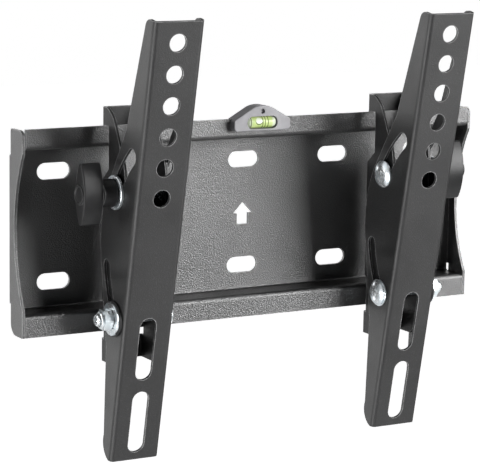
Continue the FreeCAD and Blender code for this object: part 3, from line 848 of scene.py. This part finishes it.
@dataclass
class SideSet:
    """One side of the mount: arm, hook bracket, both bolts and the clamp knob."""

    FINISH_OF: ClassVar[dict[str, str]] = {
        "arm": "arm_coat",
        "hook_bracket": "bracket_coat",
        "clamp_bolt": "zinc",
        "knob_washer": "zinc",
        "knob": "knob",
        "knob_insert": "brass",
        "guide_bolt": "zinc",
        "head_washer": "zinc",
        "friction_washer": "nylon",
        "guide_washer": "zinc",
        "lock_nut": "zinc",
    }

    finishes: FinishShelf
    side: Side
    bolt_radius: float = 0.003
    thread_pitch: float = 0.001
    thread_share: float = 0.42
    thread_lift: float = 0.00016
    thread_sunk: float = 0.00005
    thread_turns: int = 1
    thread_facets: int = 28
    thread_gap: float = 0.0007
    thread_smooth_deg: float = 25.0

    def name(self, part: str) -> str:
        """Give a part its side's name."""
        return "%s_%s" % (self.side.prefix, part)

    def dress(self) -> None:
        """Coat every CAD node of this side."""
        for part, short in self.FINISH_OF.items():
            self.finishes.coat_node(self.name(part), short)

    def build_thread(self) -> None:
        """Build the screw thread on the bolt end that stands out of the lock nut."""
        low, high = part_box(self.name("guide_bolt"))
        end = high.x if self.side.outboard > 0 else low.x
        centre = (low + high) / 2
        run = self.thread_turns * self.thread_pitch
        start = Vector((end - self.side.outboard * (run + self.thread_gap), centre.y, centre.z))
        base = self.bolt_radius - self.thread_sunk
        crest = self.bolt_radius + self.thread_lift
        half = self.thread_share * self.thread_pitch
        mesh = spin_profile(
            ((-half, base), (0.0, crest), (half, base)), start, math.tau * self.thread_turns,
            self.thread_facets * self.thread_turns, self.side.outboard * run,
        )
        piece = finish_mesh(self.name("bolt_thread"), mesh, self.finishes.made["zinc"], self.thread_smooth_deg)
        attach(piece, self.name("bracket"))

    def build(self) -> None:
        """Coat the nodes and build the thread."""
        self.dress()
        self.build_thread()


def direction(turn: float, lift: float = 0.0) -> Vector:
    """Point from the mount to a place around it.

    Args:
        turn: Degrees round from straight in front, positive to the right.
        lift: Degrees above the mount.

    Returns:
        The direction, one metre long.
    """
    round_by, up_by = math.radians(turn), math.radians(lift)
    return Vector((math.sin(round_by) * math.cos(up_by), -math.cos(round_by) * math.cos(up_by), math.sin(up_by)))


@dataclass(frozen=True)
class Lamp:
    """One soft lamp that faces the mount.

    Its place is in degrees, as direction() reads them, its power in watts, and the rest in metres.
    """

    name: str
    turn: float
    lift: float
    power: float
    width: float = 0.8
    height: float = 0.8
    distance: float = 2.2

    def hang(self) -> None:
        """Add the lamp to the scene."""
        data = bpy.data.lights.new(self.name, "AREA")
        data.shape = "RECTANGLE"
        data.size = self.width
        data.size_y = self.height
        data.energy = self.power
        lamp = bpy.data.objects.new(self.name, data)
        bpy.context.scene.collection.objects.link(lamp)
        toward = direction(self.turn, self.lift)
        lamp.location = self.distance * toward
        lamp.rotation_euler = (-toward).to_track_quat("-Z", "Y").to_euler()


@dataclass(frozen=True)
class RoomLobe:
    """A bright share of the room, for reflections alone: where it lies and how bright its middle is."""

    turn: float
    level: float
    tightness: float = 2.0

    def add(self, tree: Tree, ray: Socket) -> Socket:
        """Make the lobe's brightness for one ray.

        Args:
            tree: The world's tree.
            ray: The way that the ray points.

        Returns:
            The brightness.
        """
        ahead = arithmetic(tree, "MAXIMUM", dot_product(tree, ray, tuple(direction(self.turn))), 0.0)
        return arithmetic(tree, "MULTIPLY", arithmetic(tree, "POWER", ahead, self.tightness), self.level)


@dataclass
class Studio:
    """The pale floor, the lamps, the white surroundings and the camera."""

    floor_z: float = -1.35
    floor_half: float = 12.0
    floor_colour: tuple[float, float, float, float] = (0.86, 0.86, 0.86, 1.0)
    floor_rough: float = 0.9
    room_right: RoomLobe = RoomLobe(90.0, 0.25)
    room_left: RoomLobe = RoomLobe(-125.0, 2.8)
    camera_place: tuple[float, float, float] = (-0.58966, -1.03394, 0.19503)
    camera_turn: float = 29.675
    camera_drop: float = 9.867
    camera_roll: float = 0.957
    camera_lens: float = 169.144
    camera_sensor: float = 36.0
    camera_reach: float = 50.0
    lamps: tuple[Lamp, ...] = (
        Lamp("key_right", 44.0, 12.0, 79.0, width=1.35, height=1.35),
        Lamp("side_left", -127.0, -9.0, 2.8),
        Lamp("edge_left", -62.0, -17.0, 28.0, width=0.2, height=1.5),
        Lamp("top_right", 66.0, 46.0, 9.0),
        Lamp("front_left", -20.0, -18.0, 2.8),
        Lamp("back_left", -150.0, -26.0, 2.4, width=0.7, height=0.6, distance=1.6),
        Lamp("rear", 158.0, -6.0, 22.0, width=1.6, height=1.6),
        Lamp("above", 180.0, 78.0, 6.0),
    )

    def build_camera(self) -> None:
        """Set the camera where the picture was taken from."""
        turn, drop, roll = (math.radians(v) for v in (self.camera_turn, self.camera_drop, self.camera_roll))
        ahead = Vector((math.sin(turn) * math.cos(drop), math.cos(turn) * math.cos(drop), -math.sin(drop)))
        right = Vector((math.cos(turn), -math.sin(turn), 0.0))
        up = right.cross(ahead)
        across = math.cos(roll) * right + math.sin(roll) * up
        upright = math.cos(roll) * up - math.sin(roll) * right
        lens = bpy.data.cameras.new("photo_camera")
        lens.lens = self.camera_lens
        lens.sensor_width = self.camera_sensor
        lens.clip_end = self.camera_reach
        camera = bpy.data.objects.new("photo_camera", lens)
        bpy.context.scene.collection.objects.link(camera)
        camera.matrix_world = Matrix.Translation(self.camera_place) @ Matrix(
            (across, upright, -ahead)
        ).transposed().to_4x4()
        bpy.context.scene.camera = camera

    def build_world(self) -> None:
        """Make the surroundings white, with a room that is bright to both sides for reflections."""
        world = bpy.data.worlds.new("studio_white")
        world.use_nodes = True
        tree = world.node_tree
        tree.nodes.clear()
        path = tree.nodes.new("ShaderNodeLightPath")
        ray = tree.nodes.new("ShaderNodeTexCoord").outputs["Generated"]
        room = arithmetic(tree, "ADD", self.room_right.add(tree, ray), self.room_left.add(tree, ray))
        mirrored = arithmetic(tree, "MULTIPLY", path.outputs["Is Glossy Ray"], room)
        seen = arithmetic(tree, "MAXIMUM", path.outputs["Is Camera Ray"], path.outputs["Is Transmission Ray"])
        back = tree.nodes.new("ShaderNodeBackground")
        back.inputs["Color"].default_value = WHITE
        leave = tree.nodes.new("ShaderNodeOutputWorld")
        link_nodes(tree, arithmetic(tree, "MAXIMUM", seen, mirrored), back.inputs["Strength"])
        link_nodes(tree, back.outputs["Background"], leave.inputs["Surface"])
        bpy.context.scene.world = world

    def build_floor(self) -> None:
        """Lay the pale floor."""
        mesh = bmesh.new()
        place = Matrix.Translation((0.0, 0.0, self.floor_z))
        bmesh.ops.create_grid(mesh, x_segments=1, y_segments=1, size=self.floor_half, matrix=place)
        material, tree, shader = start_material("floor_white")
        path = tree.nodes.new("ShaderNodeLightPath")
        shader.inputs["Base Color"].default_value = self.floor_colour
        shader.inputs["Roughness"].default_value = self.floor_rough
        shader.inputs["Emission Color"].default_value = WHITE
        link_nodes(tree, path.outputs["Is Camera Ray"], shader.inputs["Emission Strength"])
        floor = finish_mesh("studio_floor", mesh, material)
        floor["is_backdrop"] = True

    def build(self) -> None:
        """Build the whole studio."""
        self.build_camera()
        self.build_world()
        self.build_floor()
        for lamp in self.lamps:
            lamp.hang()
        bpy.context.scene.view_settings.view_transform = "Standard"
        LOG.info("studio is set")


def main(cad_box: tuple[Vector, Vector]) -> None:
    """Build the mount's looks and its studio.

    Args:
        cad_box: The object's box before any piece is added; not used.
    """
    finishes = FinishShelf(SharedEffects(painted_edge_highlight_group(), grain_group()))
    finishes.stock()
    WallPlateSet(finishes).build()
    LevelSet(finishes).build()
    for side in Side:
        SideSet(finishes, side).build()
    Studio().build()


if __name__ == "__main__":
    logging.basicConfig(level=logging.INFO)
    main(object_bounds())
